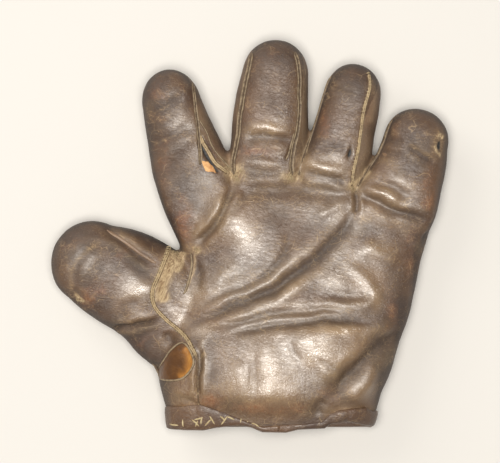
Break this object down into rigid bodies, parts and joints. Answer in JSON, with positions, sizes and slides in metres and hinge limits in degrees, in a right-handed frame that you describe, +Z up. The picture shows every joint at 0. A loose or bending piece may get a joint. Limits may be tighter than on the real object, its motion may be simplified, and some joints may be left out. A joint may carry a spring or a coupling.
{
  "type": "baseball glove",
  "caption": "Old full-fingered padded leather glove without a web, for the left hand, with a laced hem, a slit back and a wrist strap with a snap button.",
  "frame": {"origin": "a point on the flat rest area on the back of the hand", "axes": "+Z up, out of the palm, +Y from the wrist to the fingertips, thumb on the -X side"},
  "size_m": [0.2291, 0.2239, 0.0485],
  "materials": {
    "leather": "worn, half-gloss",
    "side_leather": "worn, half-gloss",
    "lining_leather": "matt, thin",
    "felt": "felted wool",
    "scuffed_leather": "rubbed through",
    "gusset_leather": "smooth, half-gloss",
    "welt_leather": "rubbed edge",
    "thread": "waxed linen thread",
    "brass": "tarnished"
  },
  "bodies": {
    "glove": {"palm_leather": "leather", "back_leather": "leather", "thumb_base_leather": "leather", "heel_side_leather": "leather", "thumb_seam_welt": "welt_leather", "crotch_patch": "scuffed_leather", "thumb_base_gusset": "gusset_leather", "heel_pad": "felt", "side_pad": "felt", "palm_pad": "felt", "thumb_base_pad": "felt", "palm_lining": "lining_leather", "back_lining": "lining_leather", "wrist_binding_thumb_side": "leather", "wrist_binding_little_side": "leather", "slit_binding": "leather", "hem_lacing": "thread", "strap_anchor": "leather", "strap_stud": "brass"},
    "index_finger": {"index_front_leather": "leather", "index_back_leather": "leather", "index_right_welt": "welt_leather", "index_right_fourchette": "side_leather", "index_pad": "felt", "index_lining": "lining_leather"},
    "middle_finger": {"middle_front_leather": "leather", "middle_back_leather": "leather", "middle_right_welt": "welt_leather", "middle_right_fourchette": "side_leather", "middle_left_welt": "welt_leather", "middle_left_fourchette": "side_leather", "middle_pad": "felt", "middle_lining": "lining_leather"},
    "ring_finger": {"ring_front_leather": "leather", "ring_back_leather": "leather", "ring_right_welt": "welt_leather", "ring_right_fourchette": "side_leather", "ring_left_welt": "welt_leather", "ring_left_fourchette": "side_leather", "ring_pad": "felt", "ring_lining": "lining_leather"},
    "little_finger": {"little_front_leather": "leather", "little_back_leather": "leather", "little_left_welt": "welt_leather", "little_left_fourchette": "side_leather", "little_pad": "felt", "little_lining": "lining_leather"},
    "thumb": {"thumb_front_leather": "leather", "thumb_back_leather": "leather", "thumb_right_welt": "welt_leather", "thumb_pad": "felt", "thumb_lining": "lining_leather"},
    "strap": {"wrist_strap": "leather", "button_cap": "brass"}
  },
  "joints": [
    {"name": "index_curl", "type": "hinge", "parent": "glove", "child": "index_finger", "pos_m": [-0.0386, 0.06668, 0.0364], "axis": [0.9655, 0.2604, 0], "range_deg": [0, 50]},
    {"name": "middle_curl", "type": "hinge", "parent": "glove", "child": "middle_finger", "pos_m": [0.00145, 0.0729, 0.0364], "axis": [0.9946, -0.1035, 0], "range_deg": [0, 50]},
    {"name": "ring_curl", "type": "hinge", "parent": "glove", "child": "ring_finger", "pos_m": [0.0377, 0.06915, 0.0364], "axis": [0.9646, -0.2638, 0], "range_deg": [0, 50]},
    {"name": "little_curl", "type": "hinge", "parent": "glove", "child": "little_finger", "pos_m": [0.07709, 0.0576, 0.0364], "axis": [0.9527, -0.3038, 0], "range_deg": [0, 50]},
    {"name": "thumb_curl", "type": "hinge", "parent": "glove", "child": "thumb", "pos_m": [-0.06704, 0.00289, 0.0366], "axis": [0.518, 0.8554, 0], "range_deg": [0, 40]},
    {"name": "strap_flap", "type": "hinge", "parent": "glove", "child": "strap", "pos_m": [-0.0301, -0.055, 0.0038], "axis": [0, 1, 0], "range_deg": [0, 100]}
  ]
}
